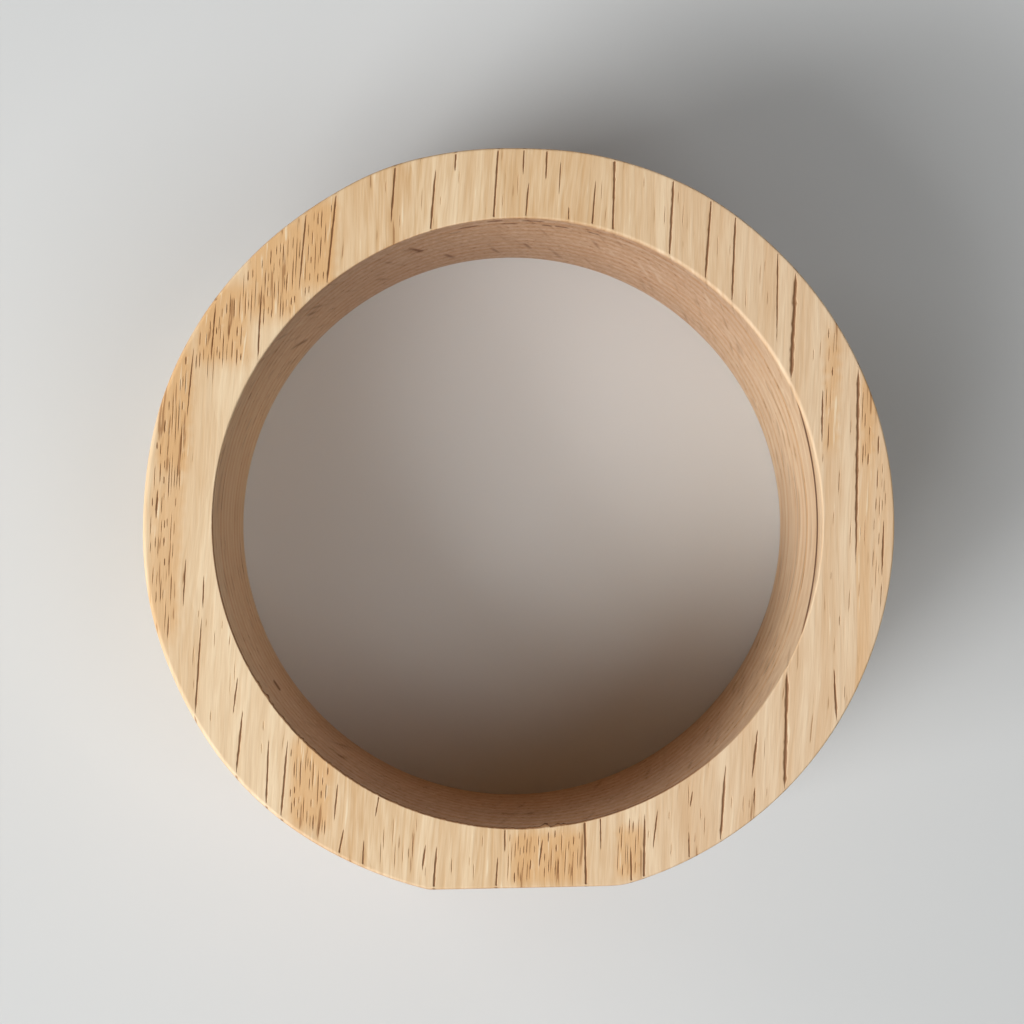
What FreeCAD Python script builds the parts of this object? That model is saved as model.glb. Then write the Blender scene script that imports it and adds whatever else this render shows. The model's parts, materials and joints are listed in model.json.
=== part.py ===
import FreeCAD, Part
import os
import Sketcher
from FreeCAD import Vector

# Napkin ring: one ring turned from a block of oak, with eased edges and a small flat on its side.
# Origin: on the bore's axis, in the plane of the end face that it stands on.
# +Z runs up along the bore, and the flat on the side faces -Y.

# Driving dimensions in millimetres: alias, size, what it sets
SIZES = (
    ("bore_diameter", 40.0, "hole that the rolled napkin goes through"),
    ("wall_thickness", 4.75, "from the bore to the round outside"),
    ("ring_width", 25.0, "from end face to end face, along the bore"),
    ("flat_depth", 0.81, "how far the flat on the side is cut in from the round"),
    ("flat_end_round", 2.0, "where the flat runs out into the round side"),
    ("rim_edge_round", 0.3, "eased edge round the outside of each end face"),
    ("bore_edge_break", 0.12, "broken edge at each mouth of the bore"),
)

# Radii from the bore's axis, worked out from the driving dimensions
BORE_RADIUS = "sizes.bore_diameter / 2"
OUTER_RADIUS = "sizes.bore_diameter / 2 + sizes.wall_thickness"

# A point counts as lying on a plane or a radius within this distance
NEAR = 0.001


def make_sheet(doc):
    """The driving dimensions, one row each: a name, the size and a note."""
    sheet = doc.addObject("Spreadsheet::Sheet", "sizes")
    for row, (alias, size, note) in enumerate(SIZES, start=1):
        sheet.set(f"A{row}", alias)
        sheet.set(f"B{row}", str(size))
        sheet.set(f"C{row}", note)
        sheet.setAlias(f"B{row}", alias)
    doc.recompute()
    return sheet


def new_sketch(body, name, role):
    """An empty sketch on one of the body's own origin planes."""
    plane = next(f for f in body.Origin.OriginFeatures if f.Role == role)
    sketch = body.newObject("Sketcher::SketchObject", name)
    sketch.AttachmentSupport = (plane, [""])
    sketch.MapMode = "FlatFace"
    return sketch


def bind(sketch, constraint, name, expression):
    """Adds a size to a sketch, names it and ties it to the driving dimensions."""
    index = sketch.addConstraint(constraint)
    sketch.renameConstraint(index, name)
    sketch.setExpression("Constraints." + name, expression)


def draw_rectangle(sketch, left, bottom, right, top):
    """Four joined lines, numbered 0 bottom, 1 right, 2 top and 3 left."""
    corners = [Vector(left, bottom, 0), Vector(right, bottom, 0), Vector(right, top, 0), Vector(left, top, 0)]
    for start, end in zip(corners, corners[1:] + corners[:1]):
        sketch.addGeometry(Part.LineSegment(start, end), False)
    for line in range(4):
        sketch.addConstraint(Sketcher.Constraint("Coincident", line, 2, (line + 1) % 4, 1))
    for line, direction in enumerate(("Horizontal", "Vertical", "Horizontal", "Vertical")):
        sketch.addConstraint(Sketcher.Constraint(direction, line))


def turn_ring(body, sheet):
    """The ring's wall, one rectangle turned once round the bore's axis."""
    bore_radius = sheet.bore_diameter / 2
    outer_radius = bore_radius + sheet.wall_thickness
    section = new_sketch(body, "ring_section", "XZ_Plane")
    draw_rectangle(section, bore_radius, 0, outer_radius, sheet.ring_width)
    section.addConstraint(Sketcher.Constraint("PointOnObject", 0, 1, -1))
    bind(section, Sketcher.Constraint("DistanceX", -1, 1, 0, 1, bore_radius), "bore_radius", BORE_RADIUS)
    bind(section, Sketcher.Constraint("DistanceX", -1, 1, 0, 2, outer_radius), "outer_radius", OUTER_RADIUS)
    bind(section, Sketcher.Constraint("DistanceY", 0, 2, 1, 2, sheet.ring_width), "width", "sizes.ring_width")
    ring = body.newObject("PartDesign::Revolution", "turned_ring")
    ring.Profile = section
    ring.ReferenceAxis = (section, ["V_Axis"])
    ring.Angle = 360
    section.Visibility = False
    return ring


def cut_flat(body, sheet):
    """The flat on the side, a straight cut along the whole width of the ring."""
    radius = sheet.bore_diameter / 2 + sheet.wall_thickness
    flat_offset = radius - sheet.flat_depth
    cut_reach = radius + sheet.flat_depth
    outline = new_sketch(body, "flat_outline", "XY_Plane")
    draw_rectangle(outline, -radius, -cut_reach, radius, -flat_offset)
    bind(outline, Sketcher.Constraint("DistanceX", 0, 1, -1, 1, radius), "left_reach", OUTER_RADIUS)
    bind(outline, Sketcher.Constraint("DistanceX", -1, 1, 0, 2, radius), "right_reach", OUTER_RADIUS)
    bind(outline, Sketcher.Constraint("DistanceY", 2, 1, -1, 1, flat_offset),
         "flat_offset", OUTER_RADIUS + " - sizes.flat_depth")
    bind(outline, Sketcher.Constraint("DistanceY", 0, 1, -1, 1, cut_reach),
         "cut_reach", OUTER_RADIUS + " + sizes.flat_depth")
    flat = body.newObject("PartDesign::Pocket", "side_flat")
    flat.Profile = outline
    flat.Type = "ThroughAll"
    flat.Reversed = True
    outline.Visibility = False
    return flat


def edge_names(shape, wanted):
    """Names of the edges of a shape that pass a test."""
    return [f"Edge{number}" for number, edge in enumerate(shape.Edges, start=1) if wanted(edge)]


def round_edges(body, base, name, size, wanted):
    """Rounds the edges of the last feature that pass a test, to a driving dimension."""
    fillet = body.newObject("PartDesign::Fillet", name)
    fillet.Base = (base, edge_names(base.Shape, wanted))
    fillet.setExpression("Radius", "sizes." + size)
    return fillet


def break_edges(body, base, name, size, wanted):
    """Cuts a narrow 45 degree face along the edges that pass a test, to a driving dimension."""
    chamfer = body.newObject("PartDesign::Chamfer", name)
    chamfer.Base = (base, edge_names(base.Shape, wanted))
    chamfer.setExpression("Size", "sizes." + size)
    return chamfer


def make_napkin_ring(doc, sheet):
    """The whole ring: turned, given its flat, then eased along every edge."""
    body = doc.addObject("PartDesign::Body", "napkin_ring")
    body.Label = "napkin_ring"
    body.Placement = FreeCAD.Placement()
    ring = turn_ring(body, sheet)
    flat = cut_flat(body, sheet)
    doc.recompute()
    if flat.Shape.Volume >= ring.Shape.Volume:
        raise RuntimeError("the flat cuts nothing off the ring")

    flat_y = sheet.flat_depth - sheet.bore_diameter / 2 - sheet.wall_thickness

    def at_flat_end(edge):
        box = edge.BoundBox
        return box.ZLength > sheet.ring_width - NEAR and abs(box.YMin - flat_y) < NEAR

    def in_end_face(edge):
        box = edge.BoundBox
        return box.ZLength < NEAR and min(abs(box.ZMin), abs(box.ZMin - sheet.ring_width)) < NEAR

    def at_bore(edge):
        reach = [Vector(vertex.X, vertex.Y, 0).Length for vertex in edge.Vertexes]
        return all(abs(distance - sheet.bore_diameter / 2) < NEAR for distance in reach)

    ends = round_edges(body, flat, "flat_end_rounds", "flat_end_round", at_flat_end)
    doc.recompute()
    rims = round_edges(body, ends, "rim_edge_rounds", "rim_edge_round",
                       lambda edge: in_end_face(edge) and not at_bore(edge))
    doc.recompute()
    mouths = break_edges(body, rims, "bore_edge_breaks", "bore_edge_break",
                         lambda edge: in_end_face(edge) and at_bore(edge))
    doc.recompute()
    body.Tip = mouths
    doc.recompute()
    return body


doc = FreeCAD.newDocument("napkin_ring_model")
sheet = make_sheet(doc)
bodies = [make_napkin_ring(doc, sheet)]

for item in doc.Objects:
    bad = [state for state in item.State if state in ("Invalid", "Error")]
    if bad:
        raise RuntimeError(f"{item.Name} failed: {bad}")

os.makedirs("parts", exist_ok=True)
for body in bodies:
    shape = body.Shape
    if shape.isNull() or not shape.isValid() or len(shape.Solids) != 1:
        raise RuntimeError(f"{body.Label} is not one valid solid")
    shape.exportStep(f"parts/{body.Label}.step")
    box = shape.optimalBoundingBox(True, False)
    print(f"{body.Label}: {shape.Volume:.1f} mm3, {box.XLength:.3f} x {box.YLength:.3f} x {box.ZLength:.3f} mm")
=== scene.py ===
import json
import math

import bpy
import numpy as np
from mathutils import Matrix, Vector
from mathutils.geometry import delaunay_2d_cdt


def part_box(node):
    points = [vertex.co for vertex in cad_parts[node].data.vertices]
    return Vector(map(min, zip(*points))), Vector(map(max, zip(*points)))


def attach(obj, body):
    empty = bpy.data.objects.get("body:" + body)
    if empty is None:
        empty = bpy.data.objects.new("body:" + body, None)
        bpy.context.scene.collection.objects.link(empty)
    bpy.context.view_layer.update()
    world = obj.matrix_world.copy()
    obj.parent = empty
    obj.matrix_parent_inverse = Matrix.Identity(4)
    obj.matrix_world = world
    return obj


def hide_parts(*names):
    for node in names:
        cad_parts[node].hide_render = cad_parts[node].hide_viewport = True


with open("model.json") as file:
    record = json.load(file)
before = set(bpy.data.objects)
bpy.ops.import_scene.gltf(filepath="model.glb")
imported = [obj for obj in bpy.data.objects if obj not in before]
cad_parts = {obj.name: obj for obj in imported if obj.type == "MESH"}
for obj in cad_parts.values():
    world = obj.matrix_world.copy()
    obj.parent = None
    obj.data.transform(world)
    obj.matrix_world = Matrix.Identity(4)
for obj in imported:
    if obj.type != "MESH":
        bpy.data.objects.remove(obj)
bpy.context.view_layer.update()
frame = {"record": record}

# A napkin ring turned from oak, standing on a plain pale floor and seen from above through its bore.
# Sizes are in millimetres until a mesh, lamp or camera is made, and MM turns them into metres.
MM = 0.001
NODE = "napkin_ring"


# The ring's sizes, read from the frame
MOUNTS = {mount["name"]: mount for mount in frame["record"]["mounts"]}
LOW, HIGH = (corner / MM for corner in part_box(NODE))
OUTER_RADIUS = (HIGH.x - LOW.x) / 2
RING_WIDTH = HIGH.z - LOW.z
BORE_RADIUS = MOUNTS["bore"]["dims"]["r_mm"]
FLAT_OFFSET = -MOUNTS["side_flat"]["pos_m"][1] / MM
MOUTH_BREAK = (RING_WIDTH - MOUNTS["bore"]["dims"]["length_mm"]) / 2
# Eased rim of the lower face, as in the part's source
RIM_ROUND = 0.3

# Camera, as in the photograph: where it stands, the point on the floor that it looks at, the direction that
# is up in the picture, and lens and sensor in mm
CAMERA_PLACE = Vector((-3.36, -1.53, 207.98))
CAMERA_AIM = Vector((0.01, 1.02, 0.0))
CAMERA_UP = Vector((0.0183, 0.9998, 0.0125))
CAMERA_LENS = 98.06
SENSOR = 36.0
# The camera sees nothing nearer than this, in mm
NEAREST_SEEN = 10


def camera_axes():
    """The directions in which the camera's right, its up and its back point."""
    back = (CAMERA_PLACE - CAMERA_AIM).normalized()
    right = CAMERA_UP.cross(back).normalized()
    return right, back.cross(right), back


def add_camera():
    """The camera at the photograph's viewing angle."""
    data = bpy.data.cameras.new("camera")
    data.lens = CAMERA_LENS
    data.sensor_width = SENSOR
    data.clip_start = NEAREST_SEEN * MM
    camera = bpy.data.objects.new("camera", data)
    turn = Matrix(camera_axes()).transposed().to_4x4()
    camera.matrix_world = Matrix.Translation(CAMERA_PLACE * MM) @ turn
    bpy.context.scene.collection.objects.link(camera)
    bpy.context.scene.camera = camera


# The outside isn't quite round: angle in degrees, height in mm and spread in degrees of each low bump or
# hollow. Angles are counter-clockwise from +X, which is to the right in the photograph.
WAVERS = (
    (60, 0.10, 10),
    (88, -0.11, 8),
    (110, 0.13, 8),
    (175, -0.16, 12),
    (225, 0.20, 16),
    (315, 0.09, 22),
)
# Where the bore's upper mouth is softer: middle and half width in degrees, and how much more it is eased,
# in mm
SOFT_MOUTH = (48, 36, 0.16)
# Where the rim of the upper face is softer: middle and half width in degrees, and its least and most round,
# in mm
SOFT_RIM = (185, 75, 0.13, 0.28)
# Where torn fibres stand out from the bore's upper mouth: middle and half width in degrees, and how far at
# most, in mm. They get shorter over the outer third of that width.
TORN_MOUTH = ((274, 5, 0.4), (250, 45, 0.10), (218, 16, 0.16))
TORN_FADE = 1.5
TORN_SEED = 5
# How softly the flat's left and right ends run out into the round side, in mm, and the cosines of the angle
# between which one changes into the other
FLAT_BLEND = (0.02, 0.13)
FLAT_MIDDLE = (-0.1, 0.1)
# Least sine of an angle that a distance is divided by
LEAST_SINE = 1e-3

# Points in one turn of the ring, and rows of them: across each rim of the outside, down the side, across the
# underside, round the lower and the upper mouth, and up the bore's wall, half of them near its top
TURN_STEPS = 720
RIM_ROWS = 7
SIDE_ROWS = 14
UNDER_ROWS = 12
LOWER_MOUTH_ROWS = 4
UPPER_MOUTH_ROWS = 5
WALL_ROWS = 60
# Share of the wall's height from which its rows are closer together
WALL_TOP = 0.82


def turn_from(degrees, middle):
    """The signed turn from one angle to others, in degrees, from -180 to 180."""
    return (degrees - middle + 180) % 360 - 180


def outline(steps):
    """The outside seen from above: points and outward normals, once round."""
    angle = np.linspace(0, 2 * math.pi, steps, endpoint=False)
    radius = np.full(steps, OUTER_RADIUS)
    for centre, height, spread in WAVERS:
        radius += height * np.exp(-(turn_from(np.degrees(angle), centre) / spread) ** 2)
    towards_flat = np.clip(-np.sin(angle), LEAST_SINE, None)
    flat = FLAT_OFFSET / towards_flat
    blend = np.interp(np.cos(angle), FLAT_MIDDLE, FLAT_BLEND)
    radius = (radius + flat - np.sqrt((radius - flat) ** 2 + blend ** 2)) / 2
    points = np.stack([radius * np.cos(angle), radius * np.sin(angle)], 1)
    points = np.clip(points, [LOW.x, LOW.y], [HIGH.x, HIGH.y])
    along = np.roll(points, -1, 0) - np.roll(points, 1, 0)
    normals = np.stack([along[:, 1], -along[:, 0]], 1)
    normals /= np.linalg.norm(normals, axis=1)[:, None]
    return angle, points, normals


def mouth_break(angle):
    """How far the bore's upper mouth is eased, which is more towards the upper right."""
    middle, reach, more = SOFT_MOUTH
    return MOUTH_BREAK + more * np.exp(-(turn_from(np.degrees(angle), middle) / reach) ** 4)


def rim_round(angle):
    """How round the rim of the upper face is worn, which is more on the left."""
    middle, reach, least, most = SOFT_RIM
    return least + (most - least) * np.exp(-(turn_from(np.degrees(angle), middle) / reach) ** 4)


def torn(angle):
    """How far fibres stand out from the bore's upper mouth, in mm."""
    chance = np.random.default_rng(TORN_SEED)
    shred = np.zeros(len(angle))
    for middle, reach, most in TORN_MOUTH:
        away = np.abs(turn_from(np.degrees(angle), middle)) / reach
        shred += most * chance.uniform(0, 1, len(angle)) ** 2 * np.clip(TORN_FADE - TORN_FADE * away, 0, 1)
    return shred


def ring_rows():
    """Rows of points round the ring, from the upper rim down the side, under it and up the bore."""
    angle, rim, outward = outline(TURN_STEPS)
    spoke = np.stack([np.cos(angle), np.sin(angle)], 1)
    rows = []

    def bore_row(radius, height):
        rows.append(np.column_stack([spoke * np.reshape(radius, (-1, 1)), np.full(TURN_STEPS, height)]))

    def rim_row(inset, height):
        inner = rim - outward * np.reshape(inset, (-1, 1))
        rows.append(np.column_stack([inner, np.full(TURN_STEPS, height)]))

    worn = rim_round(angle)
    for turn in np.linspace(0, math.pi / 2, RIM_ROWS):
        rim_row(worn * (1 - math.sin(turn)), RING_WIDTH - worn * (1 - math.cos(turn)))
    for share in np.linspace(0, 1, SIDE_ROWS)[1:-1]:
        rim_row(0, RING_WIDTH - worn + (RIM_ROUND - RING_WIDTH + worn) * share)
    for turn in np.linspace(0, math.pi / 2, RIM_ROWS):
        rim_row(RIM_ROUND * (1 - math.cos(turn)), RIM_ROUND * (1 - math.sin(turn)))
    inner = spoke * (BORE_RADIUS + MOUTH_BREAK)
    outer = rim - outward * RIM_ROUND
    for share in np.linspace(0, 1, UNDER_ROWS)[1:-1]:
        rows.append(np.column_stack([outer + (inner - outer) * share, np.zeros(TURN_STEPS)]))
    for turn in np.linspace(0, math.pi / 2, LOWER_MOUTH_ROWS)[:-1]:
        bore_row(BORE_RADIUS + MOUTH_BREAK * (1 - math.sin(turn)), MOUTH_BREAK * (1 - math.cos(turn)))
    eased = mouth_break(angle)
    for share in np.concatenate([np.linspace(0, WALL_TOP, WALL_ROWS // 2, endpoint=False),
                                 np.linspace(WALL_TOP, 1, WALL_ROWS // 2)]):
        bore_row(BORE_RADIUS, MOUTH_BREAK + (RING_WIDTH - eased - MOUTH_BREAK) * share)
    shred = torn(angle)
    for turn in np.linspace(0, math.pi / 2, UPPER_MOUTH_ROWS)[1:]:
        bore_row(BORE_RADIUS + eased * (1 - math.cos(turn)) - shred * math.sin(2 * turn) ** 2,
                 RING_WIDTH - eased * (1 - math.sin(turn)))
    return np.stack(rows)


def add_mesh(name, points, faces, material):
    """A smooth-shaded mesh object from points in mm."""
    mesh = bpy.data.meshes.new(name)
    mesh.from_pydata((points * MM).tolist(), [], faces)
    mesh.polygons.foreach_set("use_smooth", np.ones(len(mesh.polygons), dtype=bool))
    mesh.materials.append(material)
    mesh.update()
    piece = bpy.data.objects.new(name, mesh)
    bpy.context.scene.collection.objects.link(piece)
    return piece


class Graph:
    """Short ways to add and link the nodes of one material."""

    def __init__(self, name):
        self.material = bpy.data.materials.new(name)
        self.material.use_nodes = True
        self.tree = self.material.node_tree
        self.surface = self.tree.nodes["Principled BSDF"]

    def node(self, kind, **settings):
        new = self.tree.nodes.new("ShaderNode" + kind)
        for setting, value in settings.items():
            setattr(new, setting, value)
        return new

    def feed(self, socket, value):
        """Links a socket to another node's output, or sets it to a constant."""
        if isinstance(value, bpy.types.NodeSocket):
            self.tree.links.new(value, socket)
        else:
            socket.default_value = value

    def math(self, operation, *values):
        new = self.node("Math", operation=operation)
        for socket, value in zip(new.inputs, values):
            self.feed(socket, value)
        return new.outputs[0]

    def vector(self, operation, *values):
        new = self.node("VectorMath", operation=operation)
        for socket, value in zip(new.inputs, values):
            self.feed(socket, value)
        return new.outputs["Value" if operation == "DOT_PRODUCT" else "Vector"]

    def noise(self, place, detail, roughness):
        """Smooth noise, one wave to a unit of place."""
        new = self.node("TexNoise")
        new.inputs["Scale"].default_value = 1.0
        for socket, value in (("Vector", place), ("Detail", detail), ("Roughness", roughness)):
            self.feed(new.inputs[socket], value)
        return new.outputs["Fac"]

    def cells(self, place):
        """Distance to the nearest of the points that are scattered one to a unit of place."""
        new = self.node("TexVoronoi")
        self.feed(new.inputs["Vector"], place)
        new.inputs["Scale"].default_value = 1.0
        return new.outputs["Distance"]

    def step(self, value, low, high, to_low=0.0, to_high=1.0):
        """A soft step from one value to another between two limits."""
        new = self.node("MapRange", interpolation_type="SMOOTHSTEP")
        for socket, item in zip(new.inputs, (value, low, high, to_low, to_high)):
            self.feed(socket, item)
        return new.outputs[0]

    def ramp(self, value, *stops):
        """A colour that changes along a value; each stop is a place and a colour."""
        new = self.node("ValToRGB")
        elements = new.color_ramp.elements
        while len(elements) < len(stops):
            elements.new(0.5)
        for element, (place, colour) in zip(elements, stops):
            element.position = place
            element.color = (*colour, 1)
        self.feed(new.inputs[0], value)
        return new.outputs[0]

    def mix(self, share, first, second, blend="MIX"):
        """The first colour with a share of the second."""
        new = self.node("Mix", data_type="RGBA", blend_type=blend)
        for socket, value in ((0, share), (6, first), (7, second)):
            if isinstance(value, tuple) and len(value) == 3:
                value = (*value, 1)
            self.feed(new.inputs[socket], value)
        return new.outputs[2]


def srgb(red, green, blue):
    """A colour as read off a picture, 0 to 255, as the linear numbers that a shader takes."""
    shares = [value / 255 for value in (red, green, blue)]
    return tuple(s / 12.92 if s <= 0.04045 else ((s + 0.055) / 1.055) ** 2.4 for s in shares)


def plain_material(name, colour, roughness):
    """A material of one colour."""
    graph = Graph(name)
    graph.surface.inputs["Base Color"].default_value = (*colour, 1)
    graph.surface.inputs["Roughness"].default_value = roughness
    return graph.material


# The floor's half side in mm, its colour and how rough it is
FLOOR_REACH = 1500.0
FLOOR_COLOUR = srgb(210, 212, 212)
FLOOR_ROUGHNESS = 0.8


def add_floor():
    """The plain pale floor."""
    corners = np.array([(-1, -1, 0), (1, -1, 0), (1, 1, 0), (-1, 1, 0)]) * FLOOR_REACH
    material = plain_material("pale_floor", FLOOR_COLOUR, FLOOR_ROUGHNESS)
    floor = add_mesh("floor", corners, [(0, 1, 2, 3)], material)


# Soft square lamps, all at one distance and of one size in mm: name, azimuth counter-clockwise from +X and
# elevation in degrees, and power in watts
LAMP_DISTANCE = 900
LAMP_SIZE = 420
LAMPS = (
    ("key", 210, 32, 5.5),
    ("upper_key", 225, 48, 3.0),
    ("steep_left", 225, 65, 0.8),
    ("steep_right", 320, 65, 1.9),
    ("low_left", 150, 14, 2.3),
    ("low_back", 50, 14, 0.8),
)


def add_lamp(name, azimuth, elevation, power):
    """A lamp that looks at the ring's middle."""
    data = bpy.data.lights.new(name, "AREA")
    data.size = LAMP_SIZE * MM
    data.energy = power
    lamp = bpy.data.objects.new(name, data)
    flat = math.cos(math.radians(elevation))
    towards = Vector((math.cos(math.radians(azimuth)) * flat, math.sin(math.radians(azimuth)) * flat,
                      math.sin(math.radians(elevation))))
    place = Vector((0, 0, RING_WIDTH / 2)) + towards * LAMP_DISTANCE
    turn = towards.to_track_quat("Z", "Y").to_matrix().to_4x4()
    lamp.matrix_world = Matrix.Translation(place * MM) @ turn
    bpy.context.scene.collection.objects.link(lamp)


# The fibres run along Y and lean a little to the right, and the rays lean out of the upright
LEAN = math.tan(math.radians(3.5))
RAY_SLOPE = 0.17
# Each year's growth is this thick in mm. It lies nearly level on the left and dips on the right: the two
# slopes, the places in mm between which one changes into the other, and the height at which a year starts.
GROWTH_RING = 2.2
GROWTH_SLOPES = (-0.18, 0.95)
GROWTH_TURN = (4.5, 18.9)
GROWTH_START = 28.7
# The years are numbered from this one at GROWTH_START, so that none is below 0
FIRST_YEAR = 40
# Slow waves in the wood, across the rays and through the growth: height in mm, how many radians each turns
# per mm across and along the fibres, and where it starts in radians
ACROSS_WAVES = ((0.30, 0.24, 0.11, 1.0), (0.10, 0.7, 0.33, 0.0))
GROWTH_WAVES = ((0.10, 0.35, 0.25, 0.0), (0.08, -0.8, 0.55, 2.0))
# How fine the wood's broad shades, streaks and rays are across the rays, along the fibres and through the
# growth, in waves to a mm
BROAD_SHADES = (1.0, 0.06, 0.5)
STREAKS = (2.9, 0.19, 1.6)
RAYS = (1.5, 0.09, 0.32)
# How strongly the streaks stand out as relief, from 0 to 1, and their height in mm
RELIEF = (0.55, 0.06)

# Colours of the oak as the photograph shows them, 0 to 255
PALE_WOOD = srgb(240, 215, 178)
MID_WOOD = srgb(226, 194, 152)
TAN_WOOD = srgb(208, 168, 120)
ROSY_WOOD = srgb(224, 195, 163)
ORANGE_WOOD = srgb(216, 164, 102)
PORE_DARK = srgb(150, 100, 52)
# Dark of the rays and lines, also used for the painted shade along the mouth's edge
RAY_AND_SHADE_DARK = srgb(134, 88, 48)
SEAM_DARK = srgb(78, 48, 26)
# Pale flecks in the wood; the same colour paints the highlight on the lit flank of open pores
FLECK_AND_HIGHLIGHT = srgb(250, 236, 204)
# What the end grain's colour is multiplied by
END_GRAIN_TINT = (0.70, 0.59, 0.58)

# Lines along the bore's wall: middle and half length in degrees, height at the middle, rise at the ends and
# thickness in mm, and darkness, below 0 for a light line. The first is the seam under the mouth.
WALL_LINES = (
    (0, 22, 22.3, 2.5, 0.34, 1.7), (-3, 17, 16.2, 0.7, 0.5, 0.32), (-4, 17, 11.3, 0.8, 0.55, 0.36),
    (-2, 19, 17.6, 0.6, 0.5, -0.25), (-3, 18, 12.7, 0.8, 0.6, -0.30), (-1, 16, 20.0, 1.2, 0.5, 0.15),
    (-32, 6, 15.6, -0.6, 0.7, 0.30), (23, 6, 14.2, 0.3, 0.6, 0.30), (24, 7, 12.6, -0.4, 0.6, -0.25),
    (-30, 8, 19.4, 0.4, 0.6, -0.22), (27, 6, 19.5, 0.8, 0.6, 0.25), (92, 14, 22.2, 0.4, 0.35, 0.12),
    (112, 8, 14.3, 0.2, 0.6, -0.22), (65, 9, 22.6, 0.2, 0.6, -0.25), (165, 14, 21.0, 0.1, 0.5, 0.16),
    (168, 12, 19.0, 0.0, 0.5, -0.18), (172, 13, 14.5, 0.2, 0.6, 0.10), (185, 12, 8.0, 0.2, 0.8, 0.10),
    (238, 9, 15.8, 0.2, 0.5, 0.28), (268, 9, 15.2, 0.2, 0.5, 0.28), (272, 12, 12.6, 0.3, 0.6, -0.2),
    (245, 10, 9.0, 0.2, 0.8, -0.12), (213, 1.2, 13.8, 0.0, 0.8, 0.8), (56, 3.5, 23.2, 1.2, 0.4, -0.3),
    (48, 3.5, 22.4, 1.4, 0.4, -0.3), (52, 3.0, 20.0, -1.4, 0.5, -0.25),
    (93.2, 1.5, 23.9, 0.0, 0.3, 0.6), (86, 2.2, 23.7, 0.0, 0.3, 0.6), (90.5, 1.6, 22.0, 0.0, 0.35, 0.5),
    (83.3, 0.9, 21.8, 0.0, 0.35, 0.6), (80.4, 1.5, 22.0, 0.0, 0.35, 0.55), (74.3, 1.4, 22.2, 0.0, 0.35, 0.45),
    (98.2, 2.1, 22.3, 0.0, 0.4, 0.45), (108.6, 2.0, 15.0, 0.0, 0.6, 0.4), (101, 1.5, 20.5, 0.0, 0.5, 0.35),
)

# A line is strong as far as its half length and fades out soon after it
WALL_LINE_FADE = 1.3

# Short strokes of the rays down the wall's end grain: from and to in degrees, and how many
WALL_STROKES = ((35, 145, 230), (215, 328, 170))
# Least and most height of a stroke's top, of its length and of its thickness, in mm, and its darkness
STROKE_TOP = (6, 25.5)
STROKE_LENGTH = (3, 9)
STROKE_THICKNESS = (0.10, 0.20)
STROKE_DARKNESS = (-0.22, 0.14, 0.24)
STROKE_SEED = 11
# The dark lines of the upper face run on down the side that they reach: least and most length of that stroke
# in mm, how much thicker in mm than a third of the line it is, and how dark it is outside and in the bore
RUN_ON_LENGTH = (4, 14)
RUN_ON_SPREAD = 0.03
RUN_ON_DARKNESS = (0.55, 0.3)
# A stroke marks only points this near to it along Y and by radius, and this far below the upper face, in mm
STROKE_REACH = (3, 0.6)
STROKE_BELOW = 0.02
# A point is on the bore's wall when it is within this distance of it, in mm
ON_WALL = 0.01
# A thin line of painted shade edges the bore's upper mouth where the wall below it is turned from the lamps,
# on these rows of points counted back from its last one: the angle in degrees opposite which it is strongest,
# its darkness, and how steeply it comes in and out
MOUTH_SHADE_ROWS = (4, 3, 2)
MOUTH_LIT_SIDE = 60
MOUTH_SHADE = 0.85
MOUTH_SHADE_FADE = 2.2

# Side of the photograph, in pixels
PHOTO_SIDE = 1024
# Where each dark line on the upper face starts and ends in the photograph, across and down in its pixels,
# and the line's width there
GRAIN_LINES = (
    (336, 195, 328, 283, 3.0), (305, 214, 299, 292, 2.4), (262, 283, 256, 359, 2.6),
    (214, 302, 211, 363, 2.0), (194, 346, 187, 418, 2.0), (396, 167, 391, 224, 3.2),
    (436, 168, 431, 229, 3.0), (456, 152, 455, 172, 2.4), (499, 154, 494, 215, 3.0),
    (525, 150, 523, 176, 2.2), (529, 181, 527, 216, 2.2), (548, 150, 546, 181, 2.6),
    (569, 206, 569, 214, 1.8), (596, 179, 594, 221, 2.6), (615, 159, 613, 226, 3.4),
    (675, 179, 672, 252, 3.4), (711, 200, 706, 276, 3.4), (736, 214, 733, 299, 3.2),
    (780, 252, 777, 345, 2.4), (798, 269, 793, 379, 6.0), (789, 668, 785, 788, 5.0),
    (823, 388, 822, 444, 3.0), (861, 367, 856, 568, 4.4), (879, 434, 878, 456, 2.4),
    (884, 518, 882, 578, 2.8), (834, 667, 835, 722, 3.2), (158, 488, 156, 520, 3.0),
    (204, 574, 203, 610, 2.2), (186, 557, 183, 608, 2.4), (202, 615, 196, 715, 2.6),
    (238, 676, 233, 715, 2.4), (243, 709, 239, 769, 3.2), (269, 738, 267, 800, 2.8),
    (288, 738, 284, 812, 3.2), (338, 782, 334, 822, 2.4), (344, 828, 341, 852, 2.4),
    (364, 839, 362, 864, 2.2), (377, 802, 375, 818, 2.0), (426, 843, 422, 872, 2.6),
    (437, 845, 433, 882, 3.2), (498, 856, 497, 883, 2.4), (506, 834, 505, 853, 2.4),
    (543, 838, 539, 868, 2.8), (587, 827, 585, 882, 3.2), (603, 824, 601, 851, 2.2),
    (631, 845, 629, 876, 2.6), (645, 812, 642, 874, 3.4), (658, 808, 653, 850, 2.4),
    (693, 790, 690, 808, 2.2), (689, 830, 687, 856, 2.2), (726, 763, 718, 836, 3.4),
    (758, 728, 752, 780, 3.2), (755, 786, 754, 806, 2.2), (561, 160, 559, 196, 1.8),
)
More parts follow.
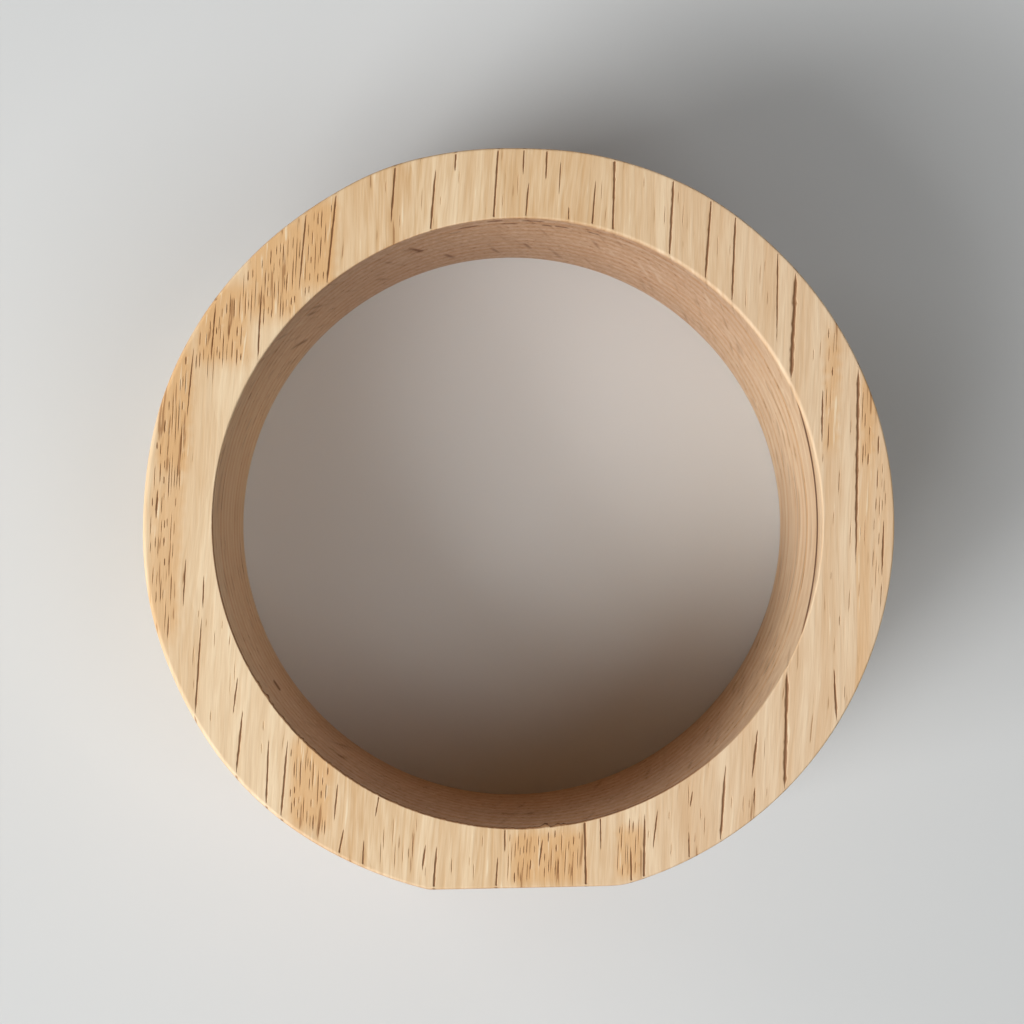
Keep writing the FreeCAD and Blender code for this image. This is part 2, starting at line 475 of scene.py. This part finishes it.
# Patches of open pores on the upper face: left, top, right and bottom in the same pixels, how many pores,
# and how strongly they show
PORE_PATCHES = (
    (303, 196, 336, 292, 110, 1.0), (248, 212, 303, 322, 190, 1.0), (198, 280, 250, 366, 130, 1.0),
    (160, 340, 190, 480, 120, 1.0), (150, 470, 180, 650, 120, 0.9), (826, 330, 838, 458, 44, 0.8),
    (862, 369, 876, 470, 40, 0.9), (876, 440, 890, 600, 34, 0.7), (290, 736, 332, 832, 100, 1.0),
    (510, 830, 585, 886, 150, 0.9), (618, 826, 642, 880, 50, 0.9), (345, 175, 700, 255, 12, 0.4),
    (640, 700, 800, 860, 12, 0.4), (190, 600, 290, 780, 10, 0.4), (700, 215, 830, 400, 8, 0.4),
    (380, 820, 510, 886, 14, 0.5), (800, 400, 870, 700, 12, 0.5),
)
# Open pores stand in columns this many pixels apart, and stray this far from them
PORE_COLUMN = 4.5
PORE_STRAY = 1.7
# At most this many places are tried for each pore
PORE_TRIES = 5
# Half a pore's length: the least in mm, how much more the longest has in strong patches, and the power that
# makes long ones rare
PORE_HALF_LENGTH = (0.3, 1.6, 1.2)
# A pore's width in mm: the least, the most in weak patches and how much more that is in strong ones, then
# its depth in mm
PORE_WIDTH = (0.05, 0.10, 0.05)
PORE_DEPTH = 0.05
# Least and most darkness of a pore, and how light its far side may be: a pale fleck of filler that is partly
# a painted highlight on the pit's lit wall
PORE_DARKNESS = (0.45, 1.15)
PORE_FLECK_AND_HIGHLIGHT = (0.0, 0.1, 0.24)
PORE_STATIONS = 5
# Edge of a pore patch in half widths from its middle, and over how many of them it fades across and along
# the fibres
PATCH_EDGE = 1.15
PATCH_FADE = (0.35, 0.4)
# A patch counts as full with this many pores for each mm2 of a quarter of it, and is this deep in mm
PATCH_FULL = 25
PATCH_DEPTH = 0.5

SLIT_SEED = 7
# A slit tapers to its end over this share of its length, by this power of the distance
TAPER = (0.35, 0.6)
# Its width varies between these shares
WIDTH_RANGE = (0.7, 1.15)
# Its middle wanders by about the first share of its width, and at most by the second
WANDER = (0.035, 0.08)
# It stays fully dark down to where it is this many times narrower than at its widest
DARK_FROM = 2.5
# Space kept between slits: share of their widths, and beside them and past their ends in mm
SLIT_SPACE = (1.4, 0.03, 0.05)
# A dark line has this many stations and one more for every so many mm
LINE_STATIONS = (5, 0.4)
# Its depth in mm, and how much deeper it is for each mm of its width
LINE_DEPTH = (0.03, 0.2)
# A line whose end lies this near the edge of the face, in mm, runs out in it, and the edge is this dark
EDGE_REACH = 0.45
EDGE_DARKNESS = 0.3
# Its own last station stands this far from the edge, in mm
EDGE_GAP = 0.07

# Points between the slits of the upper face, in mm: their spacing and that of their rows, how far they and
# the pores stay from its edges, and how far they stay from slits
GRID_STEP = 0.5
GRID_ROW = 0.87 * GRID_STEP
GRID_MARGIN = 0.2
PORE_MARGIN = 0.1
SLIT_MARGIN = 0.08
# Points nearer than this are one, in mm
SAME_POINT = 1e-7


def photo_to_face(across, down):
    """The point of the upper face that the photograph shows at a pixel, in mm."""
    right, up, back = camera_axes()
    half = PHOTO_SIDE / 2
    scale = SENSOR / CAMERA_LENS / PHOTO_SIDE
    sight = right * (across - half) * scale - up * (down - half) * scale - back
    spot = CAMERA_PLACE + sight * ((RING_WIDTH - CAMERA_PLACE.z) / sight.z)
    return np.array([spot.x, spot.y])


# Size of a pixel on the upper face, in mm
PIXEL_ON_FACE = np.linalg.norm(photo_to_face(513, 512) - photo_to_face(512, 512))


class Slits:
    """Long thin slits cut into the upper face: its dark lines and its open pores."""

    def __init__(self, rim, mouth):
        self.chance = np.random.default_rng(SLIT_SEED)
        # The points of the rim, those of the mouth, then those of the slits, with how far each lies above the
        # face and how dark it is
        self.points = [*rim, *mouth]
        self.heights = [0.0] * len(self.points)
        self.darks = [0.0] * len(self.points)
        self.edges = [(first + step, first + (step + 1) % TURN_STEPS)
                      for first in (0, TURN_STEPS) for step in range(TURN_STEPS)]
        # Of each slit: x and y of its middle, its slope off Y, half its length and half its width
        self.spans = np.zeros((0, 5))
        # Where dark lines reach an edge: x, y and the line's width
        self.ends = []

    def near(self, start, end, width):
        """True where a new slit would touch one that is there."""
        if not len(self.spans):
            return False
        middle, half = (start + end) / 2, abs(start[1] - end[1]) / 2
        x, y, slope, half_length, half_width = self.spans.T
        there = x + slope * (middle[1] - y)
        widths, aside, past = SLIT_SPACE
        beside = np.abs(there - middle[0]) < widths * (half_width + width / 2) + aside
        return bool(np.any(beside & (np.abs(y - middle[1]) < half + half_length + past)))

    def edge_vertex(self, spot):
        """The vertex of the face's rim or mouth that is nearest to a point."""
        away = np.linalg.norm(np.array(self.points[:2 * TURN_STEPS]) - spot, axis=1)
        return int(np.argmin(away))

    def edge_slope(self, vertex, along):
        """The tangent of the angle at which a line meets the edge of the face at one of its vertices."""
        loop = vertex // TURN_STEPS * TURN_STEPS
        before, after = (self.points[loop + (vertex - loop + way) % TURN_STEPS] for way in (-1, 1))
        edge = after - before
        return abs(edge[0] * along[1] - edge[1] * along[0]) / abs(edge @ along)

    def cut(self, start, end, width, depth, dark, stations, at_edge=(None, None), flank_fleck_and_highlight=0.0):
        """Adds one slit, deepest along its middle.

        Each end is a taper, or a vertex of the face's edge, where at_edge names one.
        """
        along = end - start
        length = np.linalg.norm(along)
        side = np.array([-along[1], along[0]]) / length
        share = np.linspace(0, 1, stations)
        bulge = np.ones(stations)
        for number, vertex in enumerate(at_edge):
            from_end = np.abs(share - number)
            if vertex is None:
                bulge = np.minimum(bulge, np.minimum(from_end / TAPER[0], 1) ** TAPER[1])
            else:
                share[1 if number == 0 else -2] = abs(number - EDGE_GAP / length)
                from_end = np.abs(share - number) * length
                bulge = np.minimum(bulge, from_end * self.edge_slope(vertex, along) / width)
        half_widths = self.chance.uniform(*WIDTH_RANGE, stations) * bulge * width / 2
        drift = np.clip(self.chance.normal(0, WANDER[0], stations), -WANDER[1], WANDER[1])
        drift = drift * width * np.minimum(1, 2 * bulge)
        middle = start + along * share[:, None] + side * drift[:, None]
        chain = []
        shared = {0: at_edge[0], stations - 1: at_edge[1]}
        for station in range(stations):
            vertex = shared.get(station)
            if vertex is None:
                vertex = len(self.points)
                self.points.append(middle[station])
                self.heights.append(-depth * bulge[station])
                self.darks.append(0.0 if station in shared else dark * min(1, DARK_FROM * bulge[station]))
            chain.append(vertex)
        self.edges += list(zip(chain, chain[1:]))
        # The far flank may be lighter: a pale fleck of filler, partly a painted highlight on the pit's lit
        # side
        for way in (-1, 1):
            first = len(self.points)
            flank = middle[1:-1] + side * (way * half_widths[1:-1])[:, None]
            self.points += [*flank]
            self.heights += [0.0] * (stations - 2)
            self.darks += [-flank_fleck_and_highlight if way == 1 else 0.0] * (stations - 2)
            border = [chain[0], *range(first, first + stations - 2), chain[-1]]
            self.edges += list(zip(border, border[1:]))
        centre = (start + end) / 2
        slope = along[0] / along[1]
        self.spans = np.vstack([self.spans, (*centre, slope, abs(along[1]) / 2, width / 2)])

    def add_lines(self, on_face):
        """The dark lines, where the photograph shows them; one that reaches an edge ends in its vertex."""
        for start_across, start_down, end_across, end_down, width in GRAIN_LINES:
            ends = [photo_to_face(start_across, start_down), photo_to_face(end_across, end_down)]
            wide = width * PIXEL_ON_FACE
            at_edge = [None, None]
            for number, (here, there) in enumerate((ends, ends[::-1])):
                onward = here + (here - there) / np.linalg.norm(here - there) * EDGE_REACH
                if not on_face(onward, 0):
                    vertex = self.edge_vertex(here)
                    at_edge[number] = vertex
                    self.darks[vertex] = EDGE_DARKNESS
                    self.ends.append((*self.points[vertex], wide))
            ends = [spot if vertex is None else self.points[vertex] for spot, vertex in zip(ends, at_edge)]
            stations = LINE_STATIONS[0] + int(np.linalg.norm(ends[1] - ends[0]) / LINE_STATIONS[1])
            self.cut(*ends, wide, LINE_DEPTH[0] + LINE_DEPTH[1] * wide, 1.0, stations, at_edge)

    def add_pores(self, on_face):
        """Short slits, scattered over each patch of open pores."""
        least, more, rare = PORE_HALF_LENGTH
        narrow, wide, wider = PORE_WIDTH
        for left, top, right, bottom, count, strength in PORE_PATCHES:
            for _ in range(count * PORE_TRIES):
                if not count:
                    break
                column = left + PORE_COLUMN * self.chance.integers(0, max(2, (right - left) / PORE_COLUMN))
                column += self.chance.uniform(-PORE_STRAY, PORE_STRAY)
                down = self.chance.uniform(top, bottom)
                spot = photo_to_face(column - LEAN * (down - (top + bottom) / 2), down)
                half = (least + more * strength * self.chance.uniform() ** rare) * np.array([LEAN, 1.0])
                start, end = spot + half, spot - half
                width = self.chance.uniform(narrow, wide + wider * strength)
                dark = self.chance.uniform(*PORE_DARKNESS) * strength
                if on_face(start) and on_face(end) and not self.near(start, end, width):
                    light = strength * self.chance.choice(PORE_FLECK_AND_HIGHLIGHT)
                    self.cut(start, end, width, PORE_DEPTH, dark, PORE_STATIONS, flank_fleck_and_highlight=light)
                    count -= 1


def upper_face(inner, outer):
    """The upper face between the rows of its mouth and its rim.

    Gives its own points, how dark each point of the rim, the mouth and the face is, the triangles between all
    these, and where dark lines reach an edge.
    """
    def on_face(spot, margin=PORE_MARGIN):
        step = int(round(math.atan2(spot[1], spot[0]) / (2 * math.pi) * TURN_STEPS)) % TURN_STEPS
        hole, rim = math.hypot(*inner[step, :2]), math.hypot(*outer[step, :2])
        return hole + margin < math.hypot(*spot) < rim - margin

    slits = Slits(outer[:, :2], inner[:, :2])
    slits.add_lines(on_face)
    slits.add_pores(on_face)
    points, heights, darks = slits.points, slits.heights, slits.darks
    x, y, slope, half_length, half_width = slits.spans.T
    for row, along in enumerate(np.arange(-OUTER_RADIUS, OUTER_RADIUS, GRID_ROW)):
        for across in np.arange(-OUTER_RADIUS, OUTER_RADIUS, GRID_STEP) + row % 2 * GRID_STEP / 2:
            beside = np.abs(x + slope * (along - y) - across) < half_width + SLIT_MARGIN
            level = np.abs(y - along) < half_length + SLIT_MARGIN
            if on_face((across, along), GRID_MARGIN) and not np.any(beside & level):
                points.append(np.array([across, along]))
                heights.append(0.0)
                darks.append(0.0)
    flat, _, triangles, origins, _, _ = delaunay_2d_cdt(
        [Vector(point) for point in points], slits.edges, [], 0, SAME_POINT)
    crossings = [tuple(spot) for spot, came_from in zip(flat, origins) if not came_from]
    if crossings:
        raise RuntimeError(f"slits cross at {crossings[:6]}")
    triangles = [[origins[corner][0] for corner in triangle] for triangle in triangles]
    # The triangles fill the whole round, so those outside the rim and across the bore are left out
    places = np.array(points)
    kept = []
    for triangle in triangles:
        middle = places[triangle].mean(0)
        turn = math.atan2(middle[1], middle[0]) / (2 * math.pi) * TURN_STEPS
        low = int(math.floor(turn)) % TURN_STEPS
        high = (low + 1) % TURN_STEPS
        near, far = outer[low, :2], outer[high, :2]
        inside = (far - near)[0] * (middle - near)[1] > (far - near)[1] * (middle - near)[0]
        if inside and not all(TURN_STEPS <= corner < 2 * TURN_STEPS for corner in triangle):
            kept.append(triangle)
    own = np.column_stack([places, RING_WIDTH + np.array(heights)])[2 * TURN_STEPS:]
    return own, np.array(darks), kept, slits.ends


def waves(table, across, along):
    """The sum of some slow waves at places in the wood, in mm."""
    return sum(height * np.sin(fast * across + slow * along + start) for height, fast, slow, start in table)


def fibre_space(points):
    """Where points in mm lie in the wood: across the rays, along the fibres and through the years' growth."""
    x, y, z = points.T
    straight = x - LEAN * y
    across = straight + RAY_SLOPE * (z - RING_WIDTH)
    across = across + waves(ACROSS_WAVES, across, y)
    first, last = GROWTH_TURN
    share = np.clip((straight - first) / (last - first), 0, 1)
    turned = (last - first) * (share ** 3 - share ** 4 / 2) + np.maximum(straight - last, 0)
    growth = z + GROWTH_SLOPES[0] * straight + (GROWTH_SLOPES[1] - GROWTH_SLOPES[0]) * turned
    return np.stack([across, y, growth + waves(GROWTH_WAVES, straight, y)], 1)


def pore_patches(points):
    """How much each point belongs to a patch of open pores, from 0 to 1."""
    inside = np.zeros(len(points))
    for left, top, right, bottom, count, strength in PORE_PATCHES:
        corner, opposite = photo_to_face(left, bottom), photo_to_face(right, top)
        middle, half = (corner + opposite) / 2, (opposite - corner) / 2
        crowd = strength * min(1.0, count / (PATCH_FULL * half[0] * half[1]))
        across = np.abs(points[:, 0] - LEAN * (points[:, 1] - middle[1]) - middle[0]) / half[0]
        along = np.abs(points[:, 1] - middle[1]) / half[1]
        share = np.clip((PATCH_EDGE - across) / PATCH_FADE[0], 0, 1)
        share = share * np.clip((PATCH_EDGE - along) / PATCH_FADE[1], 0, 1)
        inside = np.maximum(inside, share * crowd)
    return inside * (points[:, 2] > RING_WIDTH - PATCH_DEPTH)


def wall_marks(points, ends):
    """How dark each point is from the marks on the bore's wall and over the rim; light marks are below 0."""
    angle = np.degrees(np.arctan2(points[:, 1], points[:, 0]))
    distance = np.hypot(points[:, 0], points[:, 1])
    below = RING_WIDTH - points[:, 2]
    on_wall = (distance < BORE_RADIUS + ON_WALL) & (below > 0)
    darks = np.zeros(len(points))
    for middle, reach, height, rise, thick, dark in WALL_LINES:
        share = turn_from(angle, middle) / reach
        away = (points[:, 2] - height - rise * share ** 2) / thick
        darks += dark * np.exp(-away ** 2) * np.clip(WALL_LINE_FADE - share ** 4, 0, 1) * on_wall
    chance = np.random.default_rng(STROKE_SEED)
    strokes = []
    for low, high, count in WALL_STROKES:
        for _ in range(count):
            place = math.radians(chance.uniform(low, high))
            top = chance.uniform(*STROKE_TOP)
            strokes.append((BORE_RADIUS * math.cos(place), BORE_RADIUS * math.sin(place), top, top,
                            chance.uniform(*STROKE_LENGTH), chance.uniform(*STROKE_THICKNESS),
                            chance.choice(STROKE_DARKNESS)))
    for x, y, wide in ends:
        length = chance.uniform(*RUN_ON_LENGTH)
        in_bore = math.hypot(x, y) <= (BORE_RADIUS + OUTER_RADIUS) / 2
        strokes.append((x, y, RING_WIDTH, RING_WIDTH + length / 2, length, wide / 3 + RUN_ON_SPREAD,
                        RUN_ON_DARKNESS[in_bore]))
    # Each stroke passes through x and y at its anchor height, and leans as the rays do
    for x, y, anchor, top, length, thick, dark in strokes:
        lean = RAY_SLOPE * (anchor - points[:, 2])
        beside = (points[:, 0] - x - lean) / thick
        share = (top - points[:, 2]) / length
        near = np.abs(points[:, 1] - y) < STROKE_REACH[0]
        near = near & (np.abs(distance - math.hypot(x, y)) < STROKE_REACH[1]) & (below > STROKE_BELOW)
        darks += near * dark * np.exp(-beside ** 2) * np.clip(4 * share * (1 - share), 0, 1)
    return darks


def add_attribute(mesh, name, kind, values):
    """A value for each point of a mesh, which its material reads by name."""
    field = "vector" if kind == "FLOAT_VECTOR" else "value"
    mesh.attributes.new(name, kind, "POINT").data.foreach_set(field, values.astype(np.float32).ravel())


def add_ring(material):
    """The turned ring as one closed mesh, its upper face cut by the slits of its grain."""
    rows = ring_rows()
    count = len(rows)
    own, face_darks, triangles, ends = upper_face(rows[-1], rows[0])
    steps = np.arange(TURN_STEPS)
    after = (steps + 1) % TURN_STEPS
    faces = []
    for row in range(count - 1):
        here, there = row * TURN_STEPS, (row + 1) * TURN_STEPS
        faces += np.stack([here + steps, there + steps, there + after, here + after], 1).tolist()
    sides = len(faces)
    # The face's triangles number the rim first, then the mouth, then the face's own points
    mouth = (count - 1) * TURN_STEPS
    number = np.concatenate([steps, mouth + steps, count * TURN_STEPS + np.arange(len(own))])
    faces += number[np.array(triangles)].tolist()
    points = np.vstack([rows.reshape(-1, 3), own])
    ring = add_mesh("oak_ring", points, faces, material)
    # The upper face is flat and its slits are sharp, so only the sides are shaded smooth
    smooth = np.ones(len(faces), dtype=bool)
    smooth[sides:] = False
    ring.data.polygons.foreach_set("use_smooth", smooth)
    darks = np.zeros(len(points))
    darks[number] = face_darks
    marked = count * TURN_STEPS
    darks[:marked] += wall_marks(points[:marked], ends)
    # Painted shade along the mouth's edge: 1 opposite the lit side and 0 at it
    opposite = 0.5 - 0.5 * np.cos(2 * math.pi * steps / TURN_STEPS - math.radians(MOUTH_LIT_SIDE))
    mouth_shade = MOUTH_SHADE * np.clip(MOUTH_SHADE_FADE * opposite - 1.0, 0, 1)
    for row in MOUTH_SHADE_ROWS:
        darks[(count - row) * TURN_STEPS + steps] += mouth_shade
    add_attribute(ring.data, "fibre", "FLOAT_VECTOR", fibre_space(points))
    add_attribute(ring.data, "slit", "FLOAT", darks)
    add_attribute(ring.data, "patch", "FLOAT", pore_patches(points))
    return ring


def oak_material():
    """Oak: growth rings, rays, streaks and fine pores in the wood's own directions.

    The mesh says where each point lies in the wood (fibre), how dark or light its marks are (slit), painted
    shade along the mouth's edge and painted highlights beside pores among them, and how much it belongs to a
    patch of open pores (patch).
    """
    graph = Graph("oak")
    fibre = graph.node("Attribute", attribute_name="fibre").outputs["Vector"]
    slit = graph.node("Attribute", attribute_name="slit").outputs["Fac"]
    patch = graph.node("Attribute", attribute_name="patch").outputs["Fac"]
    split = graph.node("SeparateXYZ")
    graph.feed(split.inputs[0], fibre)
    across, _, growth = split.outputs

    age = graph.math("MULTIPLY_ADD", growth, 1 / GROWTH_RING, FIRST_YEAR - GROWTH_START / GROWTH_RING)
    season = graph.math("FRACT", age)
    chance = graph.node("TexWhiteNoise", noise_dimensions="1D")
    graph.feed(chance.inputs["W"], graph.math("FLOOR", age))
    year = chance.outputs["Value"]

    broad = graph.noise(graph.vector("MULTIPLY", fibre, BROAD_SHADES), detail=1.0, roughness=0.5)
    streak = graph.noise(graph.vector("MULTIPLY", fibre, STREAKS), detail=2.0, roughness=0.75)

    # The first wood of each year is porous, in some years more than in others
    early = graph.math("MULTIPLY", graph.step(season, 0.0, 0.06), graph.step(season, 0.55, 0.30))
    porous = graph.math("MULTIPLY", early, graph.step(year, 0.1, 0.9, 0.1, 0.8))
    porous = graph.math("MAXIMUM", porous, patch)

    # Fine pores are the lowest dips of the streaks, and there are more of them in porous wood
    edge = graph.math("MULTIPLY_ADD", porous, 0.10, 0.31)
    pore = graph.step(graph.math("SUBTRACT", edge, streak), 0.0, 0.05)
    fleck = graph.step(graph.math("MULTIPLY_ADD", porous, 0.07, streak), 0.69, 0.76)

    # Rays show as dashes: most on the long grain of the sides, less on end grain, hardly on the upper face
    normal = graph.node("TexCoord").outputs["Normal"]
    facing = graph.math("ABSOLUTE", graph.vector("DOT_PRODUCT", normal, (LEAN, 1.0, 0.0)))
    level = graph.math("ABSOLUTE", graph.vector("DOT_PRODUCT", normal, (0.0, 0.0, 1.0)))
    ray_cell = graph.cells(graph.vector("MULTIPLY", fibre, RAYS))
    dark_marks_and_shade = graph.math("MULTIPLY", graph.step(ray_cell, 0.27, 0.13), graph.step(level, 0.2, 0.9, 0.26, 0.06))
    dark_marks_and_shade = graph.math("MULTIPLY", dark_marks_and_shade, graph.step(facing, 0.3, 0.8, 1.0, 0.2))

    # Plain wood: streaks, the year's own shade and broad shades
    wood = graph.mix(graph.step(streak, 0.32, 0.68), TAN_WOOD, PALE_WOOD)
    season_colour = graph.ramp(season, (0.0, TAN_WOOD), (0.10, TAN_WOOD), (0.45, MID_WOOD), (0.62, PALE_WOOD),
                               (0.96, MID_WOOD))
    wood = graph.mix(0.4, wood, season_colour)
    wood = graph.mix(graph.step(broad, 0.30, 0.62, 0.45, 0.0), wood, TAN_WOOD)
    # The wood pales towards the left and is rosier towards the right
    wood = graph.mix(graph.step(across, -6.0, -18.0, 0.0, 0.4), wood, PALE_WOOD)
    wood = graph.mix(graph.step(across, 0.0, 17.0, 0.0, 0.45), wood, ROSY_WOOD)
    wood = graph.mix(graph.math("MULTIPLY", porous, 0.7), wood, ORANGE_WOOD)
    wood = graph.mix(graph.math("MULTIPLY", fleck, 0.45), wood, FLECK_AND_HIGHLIGHT)
    wood = graph.mix(graph.math("MULTIPLY", pore, 0.7), wood, PORE_DARK)
    # The mesh's marks: light ones are below 0, painted highlights beside pores among them; the dark ones
    # include painted shade along the mouth's edge, and the seam is the darkest
    wood = graph.mix(graph.step(slit, -0.05, -0.6, 0.0, 0.8), wood, FLECK_AND_HIGHLIGHT)
    dark_marks_and_shade = graph.math("MAXIMUM", dark_marks_and_shade, graph.step(slit, 0.05, 0.6, 0.0, 0.9))
    wood = graph.mix(dark_marks_and_shade, wood, RAY_AND_SHADE_DARK)
    wood = graph.mix(graph.step(slit, 0.75, 1.4, 0.0, 0.9), wood, SEAM_DARK)

    # End grain is darker and redder
    wood = graph.mix(graph.step(facing, 0.3, 1.0, 0.0, 0.9), wood, END_GRAIN_TINT, "MULTIPLY")
    graph.feed(graph.surface.inputs["Base Color"], wood)

    bump = graph.node("Bump")
    bump.inputs["Strength"].default_value = RELIEF[0]
    bump.inputs["Distance"].default_value = RELIEF[1] * MM
    graph.feed(bump.inputs["Height"], streak)
    graph.feed(graph.surface.inputs["Normal"], bump.outputs[0])
    rough = graph.math("MULTIPLY_ADD", streak, -0.3, 0.7)
    graph.feed(graph.surface.inputs["Roughness"], graph.math("MULTIPLY_ADD", dark_marks_and_shade, 0.25, rough))
    return graph.material


ring = add_ring(oak_material())
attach(ring, "root")
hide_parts(NODE)

add_camera()
add_floor()
for lamp in LAMPS:
    add_lamp(*lamp)

bpy.context.scene.view_settings.view_transform = "Standard"
